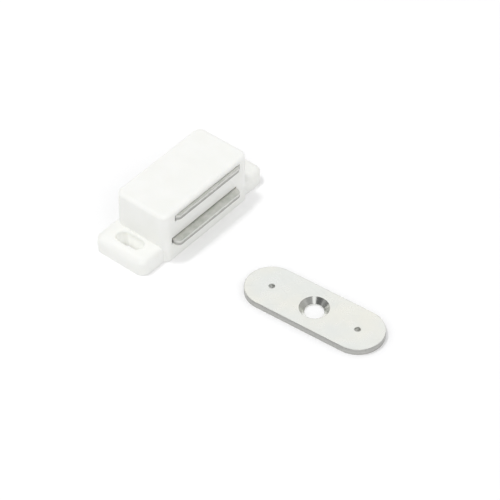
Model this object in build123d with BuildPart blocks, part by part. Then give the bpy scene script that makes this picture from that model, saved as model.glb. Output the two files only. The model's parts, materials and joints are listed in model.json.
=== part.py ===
"""Magnetic catch for a cupboard door, with its loose strike plate.

Millimetres. The origin is on the mounting face, under the middle of the housing.
+X runs along the catch from ear to ear, -Y is the way the poles face, +Z points away
from the panel that the catch is screwed to.
"""

from build123d import *
import os

os.makedirs("parts", exist_ok=True)

# ---------------------------------------------------------------- driving dimensions

# pole plates: T-shaped steel stampings whose tongues pass through the front wall
plate_thickness = 1.6
tongue_width = 24.4
shoulder_width = 2.25  # mean width of a plate's two shoulders
lower_tongue_x = -1.15  # middle of each tongue; the plates themselves are central
upper_tongue_x = 0.2
tongue_corner = 1.4
plate_rear_corner = 0.4
plate_edge_round = 0.2
full_reach = 2.1  # how far a tongue stands out of the front wall when its shoulders stop it
upper_pushed_in = 1.4  # the upper plate rests this far back from its stop

# ferrite block between the plates
magnet_thickness = 5.1
magnet_depth = 13.1
magnet_edge = 0.4

# clearances
sliding_gap = 0.05  # plate to magnet, floor, roof and stops
slot_headroom = 0.15  # the slots are this much taller than a plate needs, on the magnet's side
tongue_side_gap = 0.2  # tongue to the end of its slot
plate_side_gap = 0.1  # plate to the end wall
magnet_side_gap = 0.1
magnet_rear_gap = 0.2

# housing walls
front_wall = 1.6
end_wall = 1.6
roof_thickness = 1.5
floor_thickness = 1.6
base_height = 5.2  # mounting face to the cavity floor
rim_wall = 1.6
middle_rib = 1.6
housing_corner = 2.2
roof_edge_round = 1.0
tongue_slot_edge_round = 0.15
nib_depth = 1.6  # front of the snap nibs to the rear of the box
nib_reach = 1.1
nib_stop_width = 0.4
nib_from_rear = 0.5

# mounting base and its ears
base_back = 1.0  # the base stands this far back from the box, and leaves a lip at the rear
ear_length = 7.35
ear_thickness = 5.0
ear_corner = 2.4
ear_edge_round = 1.8
screw_slot_length = 8.0
screw_slot_width = 3.8
screw_slot_from_end = 2.85  # end of the housing to the middle of the slot
screw_slot_edge_round = 0.5
pocket_corner = 1.0

# strike plate, loose in front of the catch
strike_length = 39.2
strike_width = 14.0
strike_thickness = 1.75
strike_hole_radius = 2.5
countersink_radius = 3.8
countersink_angle = 90
pin_hole_radius = 0.75
pin_hole_spacing = 25.4
strike_edge_round = 0.15
strike_burr_break = 0.1
strike_ahead = 38.9  # front wall to the middle of the strike plate
strike_aside = -5.65
strike_turn = 94.0

# ---------------------------------------------------------------- derived sizes

plate_width = tongue_width + 2 * shoulder_width
stack_height = magnet_thickness + 2 * plate_thickness + 4 * sliding_gap
cavity_floor = base_height
cavity_roof = cavity_floor + stack_height
cavity_width = plate_width + 2 * plate_side_gap
cavity_depth = magnet_depth + magnet_rear_gap + nib_depth

housing_length = cavity_width + 2 * end_wall
housing_depth = front_wall + cavity_depth
housing_height = cavity_roof + roof_thickness
front_y = -housing_depth / 2
rear_y = housing_depth / 2
stop_y = front_y + front_wall  # inner face of the front wall
overall_length = housing_length + 2 * ear_length

slot_height = plate_thickness + 2 * sliding_gap + slot_headroom
slot_width = tongue_width + 2 * tongue_side_gap
lower_slot_middle = cavity_floor + slot_height / 2
upper_slot_middle = cavity_roof - slot_height / 2

# a plate slides between its shoulders' stop on the front wall and the two snap nibs
plate_travel = upper_pushed_in
plate_depth = magnet_depth + magnet_rear_gap - plate_travel - 2 * sliding_gap
tongue_length = front_wall + sliding_gap + full_reach

lower_plate_z = cavity_floor + sliding_gap
magnet_z = lower_plate_z + plate_thickness + sliding_gap
upper_plate_z = magnet_z + magnet_thickness + sliding_gap

screw_slot_x = housing_length / 2 + screw_slot_from_end
pocket_length = housing_length / 2 - rim_wall - middle_rib / 2
pocket_width = housing_depth - 2 * rim_wall
pocket_depth = base_height - floor_thickness
pocket_x = (middle_rib + pocket_length) / 2

print(f"housing {housing_length:.2f} x {housing_depth:.2f} x {housing_height:.2f}")
print(f"over the ears {overall_length:.2f}, plate depth {plate_depth:.2f}")

# ---------------------------------------------------------------- housing

with BuildPart() as housing:
    # mounting base: one slab that runs out into the two ears
    with BuildSketch(Plane.XY):
        with Locations((0, base_back)):
            RectangleRounded(overall_length, housing_depth, ear_corner)
    extrude(amount=ear_thickness)
    fillet(housing.faces().sort_by(Axis.Z)[-1].edges(), ear_edge_round)

    # box that holds the magnet
    with BuildSketch(Plane.XY):
        RectangleRounded(housing_length, housing_depth, housing_corner)
    extrude(amount=housing_height)
    fillet(housing.faces().sort_by(Axis.Z)[-1].edges(), roof_edge_round)

    # elongated screw slots, which let the catch be set forwards and back
    with BuildSketch(Plane.XY):
        with Locations((-screw_slot_x, base_back), (screw_slot_x, base_back)):
            SlotOverall(screw_slot_length, screw_slot_width, rotation=90)
    extrude(amount=ear_thickness, mode=Mode.SUBTRACT)
    ear_tops = housing.faces().filter_by(Axis.Z).group_by(Axis.Z)[-2]
    slot_rims = ear_tops.edges().filter_by(
        lambda e: abs(abs(e.center().X) - screw_slot_x) <= screw_slot_width / 2
        and abs(e.center().Y - base_back) < housing_depth / 2 - ear_edge_round
        and e.length < screw_slot_length
    )
    fillet(slot_rims, screw_slot_edge_round)

    # cavity for the magnet and plates, open at the rear
    with BuildSketch(Plane.XZ.offset(-rear_y)):
        with Locations((0, (cavity_floor + cavity_roof) / 2)):
            Rectangle(cavity_width, cavity_roof - cavity_floor)
    extrude(amount=cavity_depth, mode=Mode.SUBTRACT)

    # two slots in the front wall for the tongues
    with BuildSketch(Plane.XZ.offset(-stop_y)):
        with Locations(
            (lower_tongue_x, lower_slot_middle), (upper_tongue_x, upper_slot_middle)
        ):
            Rectangle(slot_width, slot_height)
    extrude(amount=front_wall, mode=Mode.SUBTRACT)
    tongue_slot_rims = housing.edges().filter_by(
        lambda e: e.center().Y < front_y + front_wall / 4
        and abs(e.center().X) < cavity_width / 2
        and cavity_floor <= e.center().Z <= cavity_roof
    )
    fillet(tongue_slot_rims, tongue_slot_edge_round)

    # snap nibs: square to the pack, sloped towards the open rear
    with BuildSketch(Plane.XY.offset(cavity_floor)):
        with BuildLine():
            Polyline(
                (cavity_width / 2, rear_y - nib_depth),
                (cavity_width / 2 - nib_reach, rear_y - nib_depth),
                (cavity_width / 2 - nib_reach, rear_y - nib_depth + nib_stop_width),
                (cavity_width / 2, rear_y - nib_from_rear),
                close=True,
            )
        make_face()
        mirror(about=Plane.YZ)
    extrude(amount=cavity_roof - cavity_floor)

    # the underside is cored out on both sides of a middle rib
    with BuildSketch(Plane.XY):
        with Locations((-pocket_x, base_back), (pocket_x, base_back)):
            RectangleRounded(pocket_length, pocket_width, pocket_corner)
    extrude(amount=pocket_depth, mode=Mode.SUBTRACT)

housing.part.label = "housing"

# ---------------------------------------------------------------- magnet

with BuildPart() as magnet:
    with BuildSketch(Plane.XY.offset(magnet_z)):
        with Locations((0, stop_y + magnet_depth / 2)):
            Rectangle(cavity_width - 2 * magnet_side_gap, magnet_depth)
    extrude(amount=magnet_thickness)
    chamfer(magnet.edges().filter_by(Axis.Z), magnet_edge)

magnet.part.label = "magnet"

# ---------------------------------------------------------------- pole plates


def pole_plate(tongue_x, shoulder_y, bottom_z):
    """Steel plate whose shoulders stand at shoulder_y, with its tongue towards -Y."""
    with BuildPart() as plate:
        with BuildSketch(Plane.XY.offset(bottom_z)) as outline:
            with Locations((0, shoulder_y + plate_depth / 2)):
                Rectangle(plate_width, plate_depth)
            with Locations((tongue_x, shoulder_y - tongue_length / 2)):
                Rectangle(tongue_width, tongue_length)
            fillet(outline.vertices().group_by(Axis.Y)[0], tongue_corner)
            fillet(outline.vertices().group_by(Axis.Y)[-1], plate_rear_corner)
        extrude(amount=plate_thickness)
        # the stamped rim of the tongue's nose is rounded over, top and bottom
        nose_line = shoulder_y - tongue_length + tongue_corner
        nose = plate.edges().filter_by(lambda e: e.center().Y < nose_line)
        fillet(nose.filter_by(Axis.Z, reverse=True), plate_edge_round)
    return plate.part


lower_plate = pole_plate(lower_tongue_x, stop_y + sliding_gap, lower_plate_z)
lower_plate.label = "pole_plate_lower"

upper_plate = pole_plate(
    upper_tongue_x, stop_y + sliding_gap + upper_pushed_in, upper_plate_z
)
upper_plate.label = "pole_plate_upper"

# ---------------------------------------------------------------- strike plate

strike_face = Plane.XY.offset(strike_thickness)

with BuildPart() as strike_plate:
    with BuildSketch(Plane.XY):
        SlotOverall(strike_length, strike_width)
    extrude(amount=strike_thickness)
    fillet(strike_plate.faces().sort_by(Axis.Z)[-1].edges(), strike_edge_round)
    chamfer(strike_plate.faces().sort_by(Axis.Z)[0].edges(), strike_burr_break)
    with Locations(strike_face):
        CounterSinkHole(
            radius=strike_hole_radius,
            counter_sink_radius=countersink_radius,
            counter_sink_angle=countersink_angle,
        )
    with Locations(strike_face):
        with Locations((-pin_hole_spacing / 2, 0), (pin_hole_spacing / 2, 0)):
            Hole(radius=pin_hole_radius)

strike_place = Location(
    (strike_aside, front_y - strike_ahead, 0), (0, 0, strike_turn)
)
strike = strike_plate.part.moved(strike_place)
strike.label = "strike_plate"

# ---------------------------------------------------------------- files

export_step(housing.part, "parts/housing.step")
export_step(magnet.part, "parts/magnet.step")
export_step(lower_plate, "parts/pole_plate_lower.step")
export_step(upper_plate, "parts/pole_plate_upper.step")
export_step(strike, "parts/strike_plate.step")
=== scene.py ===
"""Finishes a magnetic cupboard catch and its loose strike plate, and sets them in a small studio.

Everything is in metres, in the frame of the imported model: +X runs along the catch from ear to
ear, -Y is the way the poles face, and the floor is the plane of the mounting face.
"""

import json
import math

import bmesh
import bpy
from bpy.props import FloatProperty, FloatVectorProperty, PointerProperty
from bpy.types import NodeSocket, Operator, Panel, PropertyGroup
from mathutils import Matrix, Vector


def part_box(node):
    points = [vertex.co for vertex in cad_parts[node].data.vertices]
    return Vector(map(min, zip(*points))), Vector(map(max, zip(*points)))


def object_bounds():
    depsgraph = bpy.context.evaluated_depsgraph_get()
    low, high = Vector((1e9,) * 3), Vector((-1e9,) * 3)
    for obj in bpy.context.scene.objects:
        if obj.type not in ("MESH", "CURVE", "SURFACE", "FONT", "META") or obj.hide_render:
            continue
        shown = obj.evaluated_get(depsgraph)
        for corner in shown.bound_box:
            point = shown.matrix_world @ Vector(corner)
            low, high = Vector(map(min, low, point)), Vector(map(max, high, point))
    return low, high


bl_info = {
    "name": "Magnetic Catch",
    "version": (1, 0, 0),
    "blender": (4, 5, 0),
    "location": "3D View > Sidebar > Catch",
    "description": "Finishes a magnetic cupboard catch and sets it in a small studio",
    "category": "Material",
}

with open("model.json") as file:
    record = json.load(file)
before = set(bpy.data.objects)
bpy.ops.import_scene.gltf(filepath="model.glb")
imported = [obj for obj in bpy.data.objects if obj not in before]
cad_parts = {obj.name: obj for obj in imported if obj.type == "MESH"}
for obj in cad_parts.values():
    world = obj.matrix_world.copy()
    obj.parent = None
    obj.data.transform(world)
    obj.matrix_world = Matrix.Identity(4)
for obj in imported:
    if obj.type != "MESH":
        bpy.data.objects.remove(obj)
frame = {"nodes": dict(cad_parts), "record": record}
CAD_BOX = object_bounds()
SLOT_COLOURS = {entry["slot"]: entry["base_color"] for entry in frame["record"]["materials"]}
MOUNTS = {entry["name"]: Vector(entry["pos_m"]) for entry in frame["record"]["mounts"]}

MM = 0.001


# ------------------------------------------------------------------ sizes and colours to set


def colour_property(name, description, default):
    """A colour to set in the panel."""
    return FloatVectorProperty(
        name=name, description=description, default=default, subtype="COLOR", min=0.0, max=1.0
    )


def share_property(name, description, default):
    """A share from 0 to 1 to set in the panel."""
    return FloatProperty(
        name=name, description=description, default=default, subtype="FACTOR", min=0.0, max=1.0
    )


def length_property(name, description, default):
    """A length to set in the panel."""
    return FloatProperty(
        name=name, description=description, default=default, unit="LENGTH", precision=6, min=0.0
    )


def angle_property(name, description, degrees):
    """An angle to set in the panel."""
    return FloatProperty(
        name=name, description=description, default=math.radians(degrees), subtype="ANGLE"
    )


def number_property(name, description, default, least=0.0):
    """A plain number to set in the panel."""
    return FloatProperty(name=name, description=description, default=default, min=least)


class HousingFinish(PropertyGroup):
    """What can be set on the moulded housing."""

    colour: colour_property("Plastic", "Colour of the moulded plastic", (0.925, 0.93, 0.905))
    roughness: share_property("Roughness", "How dull the moulded skin is", 0.36)
    patchiness: share_property("Patchiness", "How much its dullness varies", 0.10)
    # the glow is painted light: the hollows give off light of their own, for light through thin
    # plastic
    glow: share_property("Glow", "Glow of its hollows, for light through thin plastic", 0.42)
    wave_depth: length_property(
        "Wave depth", "Depth of the shallow waves that cooling leaves in flat walls", 0.03 * MM
    )
    grain_depth: length_property(
        "Grain depth", "Depth of the fine grain that the mould gives the skin", 0.004 * MM
    )


class PoleFinish(PropertyGroup):
    """What can be set on the two pole plates."""

    colour: colour_property("Steel", "Colour of the rolled steel", (0.80, 0.80, 0.765))
    roughness: share_property("Roughness", "How dull the rolled face is", 0.56)
    patchiness: share_property("Patchiness", "How much its dullness varies", 0.10)
    grain_depth: length_property("Grain depth", "Depth of the rolling lines", 0.003 * MM)
    thickness: length_property("Thickness", "Thickness of the strip", 1.6 * MM)


class MagnetFinish(PropertyGroup):
    """What can be set on the ferrite block."""

    colour: colour_property("Ferrite", "Colour of the ferrite", SLOT_COLOURS["magnet_ferrite"])
    roughness: share_property("Roughness", "How dull the pressed block is", 0.78)
    patchiness: share_property("Patchiness", "How much its dullness varies", 0.12)
    grain_depth: length_property("Grain depth", "Depth of the pressed grain", 0.02 * MM)


class StrikeFinish(PropertyGroup):
    """What can be set on the strike plate."""

    warm: colour_property("Warm plating", "The warmer tone of the plating", (0.87, 0.865, 0.80))
    cool: colour_property("Cool plating", "The cooler tone of the plating", (0.825, 0.845, 0.82))
    cut_colour: colour_property("Cut edge", "Colour of the sheared sides", (0.52, 0.52, 0.50))
    worn_colour: colour_property("Worn edge", "Colour of the worn corners", (0.34, 0.34, 0.32))
    roughness: share_property("Roughness", "How dull the plated face is", 0.30)
    patchiness: share_property("Patchiness", "How much its dullness varies", 0.10)
    line_depth: length_property("Line depth", "Depth of the rolling lines", 0.0004 * MM)
    ring_pitch: length_property("Ring pitch", "Pitch of the countersink's tool marks", 0.16 * MM)
    ring_depth: length_property("Ring depth", "Depth of the countersink's tool marks", 0.004 * MM)
    sink_radius: length_property("Countersink radius", "Radius of the countersink's rim", 3.9 * MM)
    pin_radius: length_property("Pin hole reach", "Radius that takes in a pin hole", 1.1 * MM)


class StudioSettings(PropertyGroup):
    """What can be set on the floor, the light and the camera."""

    floor_colour: share_property("Floor", "How pale the floor is", 0.86)
    near_glare: share_property("Near glare", "White that is added to the near floor", 0.10)
    far_glare: share_property("Far glare", "White that is added to the far floor", 0.45)
    fill: number_property("Fill", "Strength of the soft light from all round", 0.77)
    fill_lean: share_property("Fill lean", "How much more of it comes from one side", 0.38)
    fill_azimuth: angle_property("Fill azimuth", "Side that more of it comes from", -45.0)
    dim_tone: share_property("Dim tone", "Tone of the dim parts that metal mirrors", 0.12)
    key: number_property("Key", "Light that the key lamp gives a level face", 0.25)
    key_azimuth: angle_property("Key azimuth", "Side that the key lamp stands on", -148.0)
    key_elevation: angle_property("Key elevation", "Height of the key lamp above the floor", 72.8)
    key_width: length_property("Key width", "Width of the key lamp", 0.09)
    azimuth: angle_property("Azimuth", "Side that the camera stands on", -50.34)
    elevation: angle_property("Elevation", "Height of the camera above the floor", 44.05)
    distance: length_property("Distance", "Camera to the point that it looks at", 0.600)
    lens: number_property("Lens", "Focal length of the camera, in mm", 172.1, least=1.0)
    look_at: FloatVectorProperty(
        name="Look at",
        description="Point on the floor in the middle of the view",
        default=(1.24 * MM, -21.05 * MM, 0.0),
        subtype="TRANSLATION",
        precision=6,
    )


# ------------------------------------------------------------------ colours


def rgba(colour):
    """A colour as a node wants it."""
    return (*colour, 1.0)


def grey(tone):
    """A grey of that tone."""
    return rgba((tone,) * 3)


def tinted(colour, tint):
    """A colour times a tint, which is one share for all its parts or a share for each."""
    shares = tint if isinstance(tint, tuple) else (tint,) * 3
    return rgba([min(1.0, part * share) for part, share in zip(colour, shares)])


BLACK = grey(0.0)
WHITE = grey(1.0)


# ------------------------------------------------------------------ node wiring


class Wiring:
    """A node tree in the making."""

    STEP = 220

    def __init__(self, tree):
        self.tree = tree

    def feed(self, socket, value):
        """Gives a socket a plain value, or another node's output to read."""
        if isinstance(value, NodeSocket):
            self.tree.links.new(value, socket)
        else:
            socket.default_value = value

    def add(self, kind, sockets=None, **settings):
        """A new node with those settings, its sockets fed."""
        node = self.tree.nodes.new(kind)
        node.location.x = self.STEP * len(self.tree.nodes)
        for name, value in settings.items():
            setattr(node, name, value)
        for name, value in (sockets or {}).items():
            self.feed(node.inputs[name], value)
        return node

    def effect(self, name, **sockets):
        """What a shared effect gives, with its sockets fed."""
        return self.add("ShaderNodeGroup", node_tree=effect_tree(name), sockets=sockets).outputs

    def math(self, operation, *values, clamp=False):
        """The result of one sum."""
        node = self.add(
            "ShaderNodeMath", dict(enumerate(values)), operation=operation, use_clamp=clamp
        )
        return node.outputs["Value"]

    def product(self, first, *others):
        """Values multiplied together."""
        for other in others:
            first = self.math("MULTIPLY", first, other)
        return first

    def opposite(self, mask):
        """1 where a mask is 0, and 0 where it is 1."""
        return self.math("SUBTRACT", 1.0, mask)

    def scaled(self, vector, factors):
        """A vector with each of its parts multiplied."""
        node = self.add("ShaderNodeVectorMath", {0: vector, 1: factors}, operation="MULTIPLY")
        return node.outputs["Vector"]

    def dot(self, vector, other):
        """How far a vector goes along another."""
        node = self.add("ShaderNodeVectorMath", {0: vector, 1: other}, operation="DOT_PRODUCT")
        return node.outputs["Value"]

    def length(self, vector):
        """The length of a vector."""
        node = self.add("ShaderNodeVectorMath", {0: vector}, operation="LENGTH")
        return node.outputs["Value"]

    def parts(self, vector):
        """The X, Y and Z of a vector."""
        return self.add("ShaderNodeSeparateXYZ", {"Vector": vector}).outputs

    def joined(self, x, y, z=0.0):
        """A vector from its parts."""
        return self.add("ShaderNodeCombineXYZ", {"X": x, "Y": y, "Z": z}).outputs["Vector"]

    def spread(self, value, low, high, to_low=0.0, to_high=1.0):
        """A value carried from one range to another, smoothly and no further."""
        sockets = {
            "Value": value,
            "From Min": low,
            "From Max": high,
            "To Min": to_low,
            "To Max": to_high,
        }
        node = self.add("ShaderNodeMapRange", sockets, interpolation_type="SMOOTHSTEP")
        return node.outputs["Result"]

    def within(self, distance, reach, softness):
        """1 nearer than a reach and 0 beyond it, with a border that soft to either side."""
        return self.spread(distance, reach + softness, reach - softness)

    def noise(self, vector, scale, detail=2.0, roughness=0.5):
        """A noise value about 0.5."""
        node = self.add(
            "ShaderNodeTexNoise",
            {"Vector": vector, "Scale": scale, "Detail": detail, "Roughness": roughness},
        )
        return node.outputs["Fac"]

    def blend(self, factor, first, second):
        """A colour between two colours."""
        node = self.add("ShaderNodeMix", {0: factor, 6: first, 7: second}, data_type="RGBA")
        return node.outputs[2]

    def between(self, factor, first, second):
        """A value between two values."""
        node = self.add("ShaderNodeMix", {0: factor, 2: first, 3: second}, data_type="FLOAT")
        return node.outputs[0]

    def choose(self, factor, first, second):
        """The first shader where a factor is 0, and the second where it is 1."""
        sockets = {0: factor, 1: first.outputs[0], 2: second.outputs[0]}
        return self.add("ShaderNodeMixShader", sockets)

    def openness(self, reach, samples, only_local=False):
        """How open the surface is to what stands within a reach of it: 1 is wide open."""
        node = self.add(
            "ShaderNodeAmbientOcclusion",
            {"Distance": reach},
            samples=samples,
            only_local=only_local,
        )
        return node.outputs["AO"]

    def bump(self, height, depth, normal=None):
        """A normal that leans with a height of 0 to 1, that deep in metres."""
        sockets = {"Height": height, "Distance": depth, "Strength": 1.0}
        if normal is not None:
            sockets["Normal"] = normal
        return self.add("ShaderNodeBump", sockets).outputs["Normal"]


def millimetres(wiring, middle=(0.0, 0.0, 0.0), turn=0.0):
    """Object coordinates in millimetres, from a middle, along axes turned about Z."""
    place = wiring.add("ShaderNodeTexCoord").outputs["Object"]
    sockets = {
        "Vector": place,
        "Location": middle,
        "Rotation": (0.0, 0.0, turn),
        "Scale": (MM, MM, MM),
    }
    return wiring.add("ShaderNodeMapping", sockets, vector_type="TEXTURE").outputs["Vector"]


# ------------------------------------------------------------------ effects shared by materials


def new_effect(name, numbers, results):
    """A new node group: its wiring, what it is given and the sockets for its results.

    It is given Vector, a place in millimetres, and the numbers.
    """
    tree = bpy.data.node_groups.new(name, "ShaderNodeTree")
    tree.interface.new_socket("Vector", in_out="INPUT", socket_type="NodeSocketVector")
    for label, default in numbers.items():
        socket = tree.interface.new_socket(label, in_out="INPUT", socket_type="NodeSocketFloat")
        socket.default_value = default
    for label in results:
        tree.interface.new_socket(label, in_out="OUTPUT", socket_type="NodeSocketFloat")
    wiring = Wiring(tree)
    given = wiring.add("NodeGroupInput").outputs
    result = wiring.add("NodeGroupOutput").inputs
    return wiring, given, result


def tone_clouds():
    """Soft patches, from 0 to 1, of a given size."""
    wiring, given, result = new_effect("tone_clouds", {"Size": 5.0}, ["Tone"])
    scale = wiring.math("DIVIDE", 1.0, given["Size"])
    patches = wiring.noise(given["Vector"], scale, detail=3.0, roughness=0.55)
    wiring.feed(result["Tone"], wiring.spread(patches, 0.28, 0.72))
    return wiring.tree


def edge_wear():
    """A mask of the outer and inner corners within a radius, broken up by fine patches."""
    wiring, given, result = new_effect("edge_wear", {"Radius": 0.1 * MM, "Gain": 4.0}, ["Mask"])
    rounded = wiring.add("ShaderNodeBevel", {"Radius": given["Radius"]}, samples=6)
    surface = wiring.add("ShaderNodeNewGeometry")
    agreement = wiring.dot(rounded.outputs["Normal"], surface.outputs["Normal"])
    lean = wiring.math("SUBTRACT", 1.0, agreement, clamp=True)
    worn = wiring.math("MULTIPLY", lean, given["Gain"], clamp=True)
    patches = wiring.noise(given["Vector"], 2.6, detail=4.0, roughness=0.6)
    wiring.feed(result["Mask"], wiring.product(worn, wiring.spread(patches, 0.34, 0.58)))
    return wiring.tree


def painted_hollow_glow():
    """A mask for a painted glow in the hollows below Top, standing in for light through thin
    plastic.

    Depth is how far a hollow reaches, and a gap narrower than Gap stays dark.
    """
    numbers = {"Top": 5.0, "Depth": 5.0 * MM, "Gap": 0.6 * MM, "Gain": 1.0}
    wiring, given, result = new_effect("painted_hollow_glow", numbers, ["Mask"])
    shut_in = wiring.spread(wiring.openness(given["Depth"], 12, only_local=True), 0.62, 0.36)
    wide = wiring.spread(wiring.openness(given["Gap"], 8), 0.35, 0.85)
    height = wiring.parts(given["Vector"])["Z"]
    below = wiring.spread(height, given["Top"], wiring.math("SUBTRACT", given["Top"], 0.5))
    hidden = wiring.product(shut_in, wide, below)
    wiring.feed(result["Mask"], wiring.math("MULTIPLY", hidden, given["Gain"], clamp=True))
    return wiring.tree


def hairlines():
    """A mask of fine scratches in three directions, in patches."""
    wiring, given, result = new_effect("hairlines", {"Length": 6.0, "Width": 0.05}, ["Mask"])
    along = wiring.math("DIVIDE", 1.0, given["Length"])
    across = wiring.math("DIVIDE", 0.5, given["Width"])
    squeeze = wiring.joined(along, across, 0.4)
    softness = 0.08
    total = 0.0
    for degrees, least in ((18.0, 0.70), (-37.0, 0.72), (74.0, 0.73)):
        turn = (0.0, 0.0, math.radians(degrees))
        mapping = wiring.add("ShaderNodeMapping", {"Vector": given["Vector"], "Rotation": turn})
        turned = mapping.outputs["Vector"]
        lines = wiring.noise(wiring.scaled(turned, squeeze), 1.0, detail=0.0)
        patches = wiring.spread(wiring.noise(turned, 0.16, detail=1.0), 0.45, 0.62)
        kept = wiring.product(wiring.spread(lines, least, least + softness), patches)
        total = wiring.math("MAXIMUM", total, kept)
    wiring.feed(result["Mask"], total)
    return wiring.tree


def cut_side():
    """The sides of a plate sheared from strip: where they are, and their drag lines.

    Burnish is 1 in the smooth band under the top face, where the punch went in.
    """
    wiring, given, result = new_effect(
        "cut_side", {"Bottom": 0.0, "Thickness": 1.5}, ["Side", "Burnish", "Drag"]
    )
    surface = wiring.add("ShaderNodeNewGeometry").outputs["Normal"]
    rise = wiring.math("ABSOLUTE", wiring.parts(surface)["Z"])
    above = wiring.math("SUBTRACT", wiring.parts(given["Vector"])["Z"], given["Bottom"])
    height = wiring.math("DIVIDE", above, given["Thickness"])
    ragged = wiring.product(wiring.math("SUBTRACT", wiring.noise(given["Vector"], 1.3), 0.5), 0.5)
    streaks = wiring.scaled(given["Vector"], (9.0, 9.0, 0.5))
    wiring.feed(result["Side"], wiring.spread(rise, 0.75, 0.25))
    wiring.feed(result["Burnish"], wiring.spread(wiring.math("ADD", height, ragged), 0.50, 0.62))
    wiring.feed(result["Drag"], wiring.noise(streaks, 1.0, detail=3.0, roughness=0.65))
    return wiring.tree


def rolling_lines():
    """The lines that rolling leaves along X in strip."""
    wiring, given, result = new_effect(
        "rolling_lines", {"Length": 9.0, "Spacing": 0.12}, ["Height"]
    )
    along = wiring.math("DIVIDE", 1.0, given["Length"])
    across = wiring.math("DIVIDE", 1.0, given["Spacing"])
    squeezed = wiring.scaled(given["Vector"], wiring.joined(along, across, across))
    wiring.feed(result["Height"], wiring.noise(squeezed, 1.0, detail=3.0, roughness=0.6))
    return wiring.tree


EFFECTS = {
    make.__name__: make
    for make in (tone_clouds, edge_wear, painted_hollow_glow, hairlines, cut_side, rolling_lines)
}


def effect_tree(name):
    """The node group of that name, built the first time that it is asked for."""
    return bpy.data.node_groups.get(name) or EFFECTS[name]()


# ------------------------------------------------------------------ materials


def new_material(name):
    """An empty material: itself, its wiring and its surface shader."""
    material = bpy.data.materials.new(name)
    material.use_nodes = True
    material.node_tree.nodes.clear()
    wiring = Wiring(material.node_tree)
    shader = wiring.add("ShaderNodeBsdfPrincipled")
    wiring.add("ShaderNodeOutputMaterial", {"Surface": shader.outputs["BSDF"]})
    return material, wiring, shader


def finish_shader(wiring, shader, **sockets):
    """Feeds the shader's sockets, by their names with underscores for spaces."""
    for name, value in sockets.items():
        wiring.feed(shader.inputs[name.replace("_", " ")], value)


def patchy_dullness(wiring, finish, patches):
    """A finish's roughness, a little less or more in patches."""
    half = finish.patchiness / 2
    return wiring.between(patches, finish.roughness - half, finish.roughness + half)


def moulded_plastic(finish):
    """White plastic with a soft gloss, shallow cooling waves and the mould's fine grain.

    Its hollows give off a painted glow, a little light of their own, in the dark too. That stands
    in for light that comes through thin walls.
    """
    material, wiring, shader = new_material("white_moulded_plastic")
    place = millimetres(wiring)
    ear_top = MOUNTS["screw_slots"].z / MM
    worn_polish = 0.08

    clouds = wiring.effect("tone_clouds", Vector=place, Size=7.0)["Tone"]
    worn = wiring.effect("edge_wear", Vector=place, Radius=0.25 * MM, Gain=3.0)["Mask"]
    # painted light: the hollows glow in the plastic's own colour, for light that comes through
    # thin walls
    hollows = wiring.effect("painted_hollow_glow", Vector=place, Top=ear_top, Gain=finish.glow)["Mask"]
    colour = rgba(finish.colour)
    tone = wiring.blend(clouds, colour, tinted(finish.colour, (0.975, 0.975, 0.965)))
    tone = wiring.blend(worn, tone, tinted(finish.colour, 0.975))
    dull = patchy_dullness(wiring, finish, clouds)
    waves = wiring.noise(place, 0.22, detail=1.0)
    grain = wiring.noise(place, 7.0, detail=3.0, roughness=0.6)
    wavy = wiring.bump(waves, finish.wave_depth)
    finish_shader(
        wiring,
        shader,
        Base_Color=tone,
        Emission_Color=wiring.blend(hollows, BLACK, colour),
        Emission_Strength=1.0,
        Roughness=wiring.math("SUBTRACT", dull, wiring.product(worn, worn_polish)),
        Subsurface_Weight=0.15,
        Subsurface_Radius=(1.0, 0.95, 0.85),
        Subsurface_Scale=1.0 * MM,
        Normal=wiring.bump(grain, finish.grain_depth, wavy),
    )
    return material


def rolled_steel(finish, name, bottom):
    """Plain rolled strip with sheared sides, its lines running along X."""
    material, wiring, shader = new_material(name)
    place = millimetres(wiring)
    line_share = 0.25
    torn_dull, burnished_dull = 0.55, 0.38

    lines = wiring.effect("rolling_lines", Vector=place)["Height"]
    thickness = finish.thickness / MM
    cut = wiring.effect("cut_side", Vector=place, Bottom=bottom / MM, Thickness=thickness)
    clouds = wiring.effect("tone_clouds", Vector=place, Size=2.4)["Tone"]
    scratched = wiring.effect("hairlines", Vector=place, Length=3.0)["Mask"]
    scratched = wiring.product(scratched, wiring.opposite(cut["Side"]))
    worn = wiring.effect("edge_wear", Vector=place, Radius=0.12 * MM, Gain=5.0)["Mask"]
    bright = tinted(finish.colour, 1.06)
    face = wiring.blend(clouds, rgba(finish.colour), tinted(finish.colour, (0.82, 0.85, 0.82)))
    face = wiring.blend(wiring.product(lines, line_share), face, bright)
    side = wiring.blend(cut["Burnish"], tinted(finish.colour, 0.56), tinted(finish.colour, 0.82))
    tone = wiring.blend(cut["Side"], face, side)
    tone = wiring.blend(wiring.math("MAXIMUM", worn, scratched), tone, bright)
    face_dull = patchy_dullness(wiring, finish, clouds)
    side_dull = wiring.between(cut["Burnish"], torn_dull, burnished_dull)
    height = wiring.between(cut["Side"], lines, cut["Drag"])
    finish_shader(
        wiring,
        shader,
        Base_Color=tone,
        Metallic=1.0,
        Roughness=wiring.between(cut["Side"], face_dull, side_dull),
        Normal=wiring.bump(height, finish.grain_depth),
    )
    return material


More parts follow.
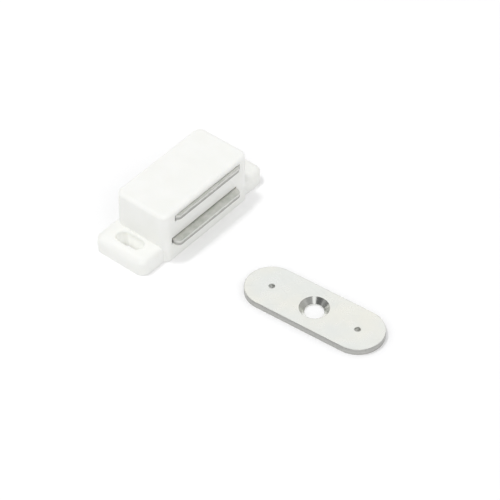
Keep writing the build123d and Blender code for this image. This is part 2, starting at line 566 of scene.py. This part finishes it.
def pressed_ferrite(finish):
    """Dark sintered ferrite: a dull pressed skin with small pits and paler chipped corners."""
    material, wiring, shader = new_material("pressed_ferrite")
    place = millimetres(wiring)
    clouds = wiring.effect("tone_clouds", Vector=place, Size=2.0)["Tone"]
    worn = wiring.effect("edge_wear", Vector=place, Radius=0.3 * MM, Gain=3.0)["Mask"]
    grain = wiring.noise(place, 5.0, detail=5.0, roughness=0.7)
    pits = wiring.add("ShaderNodeTexVoronoi", {"Vector": place, "Scale": 1.4})
    pitted = wiring.spread(pits.outputs["Distance"], 0.0, 0.16)
    tone = wiring.blend(clouds, rgba(finish.colour), tinted(finish.colour, (1.25, 1.10, 0.95)))
    finish_shader(
        wiring,
        shader,
        Base_Color=wiring.blend(worn, tone, tinted(finish.colour, 1.9)),
        Roughness=patchy_dullness(wiring, finish, clouds),
        Normal=wiring.bump(wiring.product(grain, pitted), finish.grain_depth),
    )
    return material


def plated_steel(finish):
    """Satin plating, warm and cool in patches, over a sheared plate with a turned countersink."""
    low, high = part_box("strike_plate")
    middle = MOUNTS["strike_screw_hole"]
    run = MOUNTS["strike_pin_hole_far"] - MOUNTS["strike_pin_hole_near"]
    material, wiring, shader = new_material("plated_strike_steel")
    place = millimetres(wiring, (middle.x, middle.y, low.z), math.atan2(run.y, run.x))
    thickness = (high.z - low.z) / MM
    torn_dull, burnished_dull, turned_dull = 0.52, 0.30, 0.17
    stain_share, scratch_share, worn_share, pin_painted_light_share = 0.15, 0.15, 0.9, 0.7
    scratch_colour = (0.60, 0.60, 0.59)

    clouds = wiring.effect("tone_clouds", Vector=place, Size=9.0)["Tone"]
    stains = wiring.effect("tone_clouds", Vector=place, Size=2.4)["Tone"]
    scratched = wiring.effect("hairlines", Vector=place, Width=0.12)["Mask"]
    worn = wiring.effect("edge_wear", Vector=place, Radius=0.35 * MM, Gain=14.0)["Mask"]
    lines = wiring.effect("rolling_lines", Vector=place, Length=6.0)["Height"]
    cut = wiring.effect("cut_side", Vector=place, Thickness=thickness)

    # tool marks run round the countersink, and its walls are plated too; the pin holes' walls take
    # much of the plating's paler tone as painted light, for the light that comes through the holes
    spot = wiring.parts(place)
    radius = wiring.length(wiring.joined(spot["X"], spot["Y"]))
    sunk = wiring.within(radius, finish.sink_radius / MM, 0.05)
    turns = wiring.product(radius, 2 * math.pi * MM / finish.ring_pitch)
    rings = wiring.math("MULTIPLY_ADD", wiring.math("SINE", turns), 0.5, 0.5)
    from_pin = wiring.math("SUBTRACT", wiring.math("ABSOLUTE", spot["X"]), run.length / 2 / MM)
    pin_radius = wiring.length(wiring.joined(from_pin, spot["Y"]))
    pinned = wiring.within(pin_radius, finish.pin_radius / MM, 0.1)
    plated = wiring.math("MAXIMUM", sunk, wiring.product(pinned, pin_painted_light_share))
    side = wiring.product(cut["Side"], wiring.opposite(plated))

    face = wiring.blend(clouds, rgba(finish.warm), rgba(finish.cool))
    face = wiring.blend(wiring.product(stains, stain_share), face, tinted(finish.warm, 0.93))
    # painted reflection: the burnished band of the cut sides is made darker, for the dark studio
    # it mirrors
    burnish_painted_dark = tinted(finish.cut_colour, 0.85)
    sheared = wiring.blend(cut["Burnish"], rgba(finish.cut_colour), burnish_painted_dark)
    tone = wiring.blend(side, face, sheared)
    tone = wiring.blend(wiring.product(scratched, scratch_share), tone, rgba(scratch_colour))
    tone = wiring.blend(wiring.product(worn, worn_share), tone, rgba(finish.worn_colour))
    face_dull = patchy_dullness(wiring, finish, stains)
    side_dull = wiring.between(cut["Burnish"], torn_dull, burnished_dull)
    dull = wiring.between(side, face_dull, side_dull)
    height = wiring.between(side, lines, cut["Drag"])
    lined = wiring.bump(height, finish.line_depth)
    finish_shader(
        wiring,
        shader,
        Base_Color=tone,
        Metallic=1.0,
        Roughness=wiring.between(sunk, dull, turned_dull),
        Normal=wiring.bump(wiring.product(rings, sunk), finish.ring_depth, lined),
    )
    return material


def dress(node, material):
    """Gives a CAD node its finish."""
    frame["nodes"][node].material_slots[0].material = material


# ------------------------------------------------------------------ studio

# the floor, with the distances from the origin at which its near glare ends and its far one starts
FLOOR_HALF_WIDTH = 1.5
SEEN_FLOOR = (0.93, 0.93, 0.935)
GLARE_NEAR, GLARE_FAR = 0.12, 0.40

# the key lamp's distance from the middle of the model, and the camera's sensor in mm
LAMP_REACH = 0.6
SENSOR_WIDTH = 36.0

# The studio that metal mirrors is dim low down at both flanks, and high up behind the camera to
# either side of it. Each pair says where a part starts and where it is full, by how far a
# direction goes aside, upwards or towards the camera, with 1 as all the way. The shares are how
# dim the flanks are, and how much of all that is left to the right of the camera.
FLANKS_ASIDE = (0.45, 0.75)
FLANKS_UP = (0.75, 0.45)
FLANKS_SHARE = 0.90
BEHIND_TOWARDS = (0.35, 0.70)
BEHIND_ASIDE = (0.12, 0.26)
BEHIND_UP = (0.38, 0.55)
RIGHT_ASIDE = (0.0, 0.2)
RIGHT_SHARE = 0.75


def towards(azimuth, elevation):
    """The direction from the object to something that stands at those angles."""
    return Vector(
        (
            math.sin(azimuth) * math.cos(elevation),
            -math.cos(azimuth) * math.cos(elevation),
            math.sin(elevation),
        )
    )


def aimed(name, data, place, target):
    """An object with that data, at a place and pointed at a target."""
    made = bpy.data.objects.new(name, data)
    bpy.context.scene.collection.objects.link(made)
    made.location = place
    made.rotation_mode = "QUATERNION"
    made.rotation_quaternion = (target - place).to_track_quat("-Z", "Y")
    return made


def floor_sheet(half_width, level):
    """A level sheet of floor."""
    shape = bmesh.new()
    bmesh.ops.create_grid(shape, x_segments=8, y_segments=8, size=half_width)
    bmesh.ops.translate(shape, verts=shape.verts, vec=(0.0, 0.0, level))
    mesh = bpy.data.meshes.new("floor")
    shape.to_mesh(mesh)
    shape.free()
    sheet = bpy.data.objects.new("floor", mesh)
    bpy.context.scene.collection.objects.link(sheet)
    return sheet


def floor_paper(settings):
    """Matt pale paper that the camera and metal see as white, apart from the shadow on it."""
    material, wiring, shader = new_material("floor_paper")
    fibres = wiring.noise(millimetres(wiring), 0.8, detail=3.0)
    colour = settings.floor_colour
    tone = wiring.blend(fibres, grey(colour), grey(colour * 0.985))
    finish_shader(wiring, shader, Base_Color=tone, Roughness=0.9, Specular_IOR_Level=0.1)
    seen = wiring.add("ShaderNodeBsdfDiffuse", {"Color": rgba(SEEN_FLOOR)})
    away = wiring.length(wiring.add("ShaderNodeTexCoord").outputs["Object"])
    glare = wiring.spread(away, GLARE_NEAR, GLARE_FAR, settings.near_glare, settings.far_glare)
    lift = wiring.add("ShaderNodeEmission", {"Color": WHITE, "Strength": glare})
    white = wiring.add("ShaderNodeAddShader", {0: seen.outputs[0], 1: lift.outputs[0]})
    path = wiring.add("ShaderNodeLightPath").outputs
    looked_at = wiring.math("MAXIMUM", path["Is Camera Ray"], path["Is Glossy Ray"])
    surface = wiring.choose(looked_at, shader, white).outputs[0]
    wiring.feed(wiring.tree.nodes["Material Output"].inputs["Surface"], surface)
    return material


def mirrored_tone(wiring, settings, direction):
    """The tone of the studio that metal mirrors: white, but dim in parts."""
    height = wiring.parts(direction)["Z"]
    aside = wiring.dot(direction, tuple(towards(settings.azimuth + math.pi / 2, 0.0)))
    nearness = wiring.dot(direction, tuple(towards(settings.azimuth, settings.elevation)))
    sideways = wiring.math("ABSOLUTE", aside)
    flanks = wiring.product(
        wiring.spread(sideways, *FLANKS_ASIDE), wiring.spread(height, *FLANKS_UP), FLANKS_SHARE
    )
    behind = wiring.product(
        wiring.spread(nearness, *BEHIND_TOWARDS),
        wiring.spread(sideways, *BEHIND_ASIDE),
        wiring.spread(height, *BEHIND_UP),
    )
    share = wiring.spread(aside, *RIGHT_ASIDE, 1.0, RIGHT_SHARE)
    dim = wiring.product(wiring.math("MAXIMUM", flanks, behind), share)
    return wiring.blend(dim, WHITE, grey(settings.dim_tone))


def studio_world(settings):
    """Soft light from all round, more of it from one side.

    The camera sees white instead, and metal sees a studio with dim parts.
    """
    world = bpy.data.worlds.new("studio")
    world.use_nodes = True
    world.node_tree.nodes.clear()
    wiring = Wiring(world.node_tree)
    direction = wiring.add("ShaderNodeTexCoord").outputs["Generated"]
    facing = wiring.dot(direction, tuple(towards(settings.fill_azimuth, 0.0)))
    lean = settings.fill * settings.fill_lean
    leaning = wiring.math("MULTIPLY_ADD", facing, lean, settings.fill)
    tone = mirrored_tone(wiring, settings, direction)
    fill = wiring.add("ShaderNodeBackground", {"Color": WHITE, "Strength": leaning})
    mirrored = wiring.add("ShaderNodeBackground", {"Color": tone, "Strength": 1.0})
    white = wiring.add("ShaderNodeBackground", {"Color": WHITE, "Strength": 1.0})
    path = wiring.add("ShaderNodeLightPath").outputs
    glossy = wiring.math("MAXIMUM", path["Is Glossy Ray"], path["Is Transmission Ray"])
    unseen = wiring.choose(glossy, fill, mirrored)
    surface = wiring.choose(path["Is Camera Ray"], unseen, white).outputs[0]
    wiring.add("ShaderNodeOutputWorld", {"Surface": surface})
    return world


def key_lamp(settings, target):
    """A round soft lamp that metal doesn't mirror, as bright as its light on a level face asks."""
    direction = towards(settings.key_azimuth, settings.key_elevation)
    lamp = bpy.data.lights.new("key_lamp", "AREA")
    lamp.shape = "DISK"
    lamp.size = settings.key_width
    lamp.energy = settings.key * (math.pi * LAMP_REACH) ** 2 / direction.z
    made = aimed("key_lamp", lamp, target + direction * LAMP_REACH, target)
    made.visible_glossy = False
    return made


def studio_camera(settings):
    """The camera, which looks down at the catch and its strike plate."""
    target = Vector(settings.look_at)
    data = bpy.data.cameras.new("camera")
    data.lens = settings.lens
    data.sensor_width = SENSOR_WIDTH
    data.clip_start = 0.01
    data.clip_end = 20.0
    place = target + towards(settings.azimuth, settings.elevation) * settings.distance
    return aimed("camera", data, place, target)


# ------------------------------------------------------------------ operators


class CATCH_OT_housing(Operator):
    """Finish the housing as white moulded plastic"""

    bl_idname = "catch.housing"
    bl_label = "Housing"

    def execute(self, context):
        dress("housing", moulded_plastic(context.scene.catch_housing))
        return {"FINISHED"}


class CATCH_OT_pole_plates(Operator):
    """Finish the two pole plates as rolled steel with sheared sides"""

    bl_idname = "catch.pole_plates"
    bl_label = "Pole plates"

    def execute(self, context):
        finish = context.scene.catch_poles
        for node in ("pole_plate_lower", "pole_plate_upper"):
            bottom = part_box(node)[0].z
            dress(node, rolled_steel(finish, "rolled_" + node, bottom))
        return {"FINISHED"}


class CATCH_OT_magnet(Operator):
    """Finish the magnet as pressed ferrite"""

    bl_idname = "catch.magnet"
    bl_label = "Magnet"

    def execute(self, context):
        dress("magnet", pressed_ferrite(context.scene.catch_magnet))
        return {"FINISHED"}


class CATCH_OT_strike_plate(Operator):
    """Finish the strike plate as plated steel with a turned countersink"""

    bl_idname = "catch.strike_plate"
    bl_label = "Strike plate"

    def execute(self, context):
        dress("strike_plate", plated_steel(context.scene.catch_strike))
        return {"FINISHED"}


class CATCH_OT_studio(Operator):
    """Set the floor, the light and the camera"""

    bl_idname = "catch.studio"
    bl_label = "Studio"

    def execute(self, context):
        scene = context.scene
        settings = scene.catch_studio
        floor = floor_sheet(FLOOR_HALF_WIDTH, CAD_BOX[0].z)
        floor.data.materials.append(floor_paper(settings))
        scene.world = studio_world(settings)
        key_lamp(settings, (CAD_BOX[0] + CAD_BOX[1]) / 2)
        scene.camera = studio_camera(settings)
        scene.view_settings.view_transform = "Standard"
        return {"FINISHED"}


class CATCH_PT_sidebar(Panel):
    """The catch's finishes and its studio"""

    bl_idname = "CATCH_PT_sidebar"
    bl_label = "Magnetic Catch"
    bl_space_type = "VIEW_3D"
    bl_region_type = "UI"
    bl_category = "Catch"

    def draw(self, context):
        for operator, settings in STAGES:
            box = self.layout.box()
            box.operator(operator.bl_idname)
            group = getattr(context.scene, settings)
            for name in group.__annotations__:
                box.prop(group, name)


SETTINGS = {
    "catch_housing": HousingFinish,
    "catch_poles": PoleFinish,
    "catch_magnet": MagnetFinish,
    "catch_strike": StrikeFinish,
    "catch_studio": StudioSettings,
}
STAGES = (
    (CATCH_OT_housing, "catch_housing"),
    (CATCH_OT_pole_plates, "catch_poles"),
    (CATCH_OT_magnet, "catch_magnet"),
    (CATCH_OT_strike_plate, "catch_strike"),
    (CATCH_OT_studio, "catch_studio"),
)
CLASSES = (*SETTINGS.values(), *(operator for operator, settings in STAGES), CATCH_PT_sidebar)


def register():
    """Registers the classes and hangs the settings on the scene."""
    for kind in CLASSES:
        bpy.utils.register_class(kind)
    for name, kind in SETTINGS.items():
        setattr(bpy.types.Scene, name, PointerProperty(type=kind))


def unregister():
    """Takes the settings and the classes away again."""
    for name in SETTINGS:
        delattr(bpy.types.Scene, name)
    for kind in reversed(CLASSES):
        bpy.utils.unregister_class(kind)


def main():
    """Finishes every piece and sets the studio."""
    register()
    bpy.ops.catch.housing()
    bpy.ops.catch.pole_plates()
    bpy.ops.catch.magnet()
    bpy.ops.catch.strike_plate()
    bpy.ops.catch.studio()


if __name__ == "__main__":
    main()
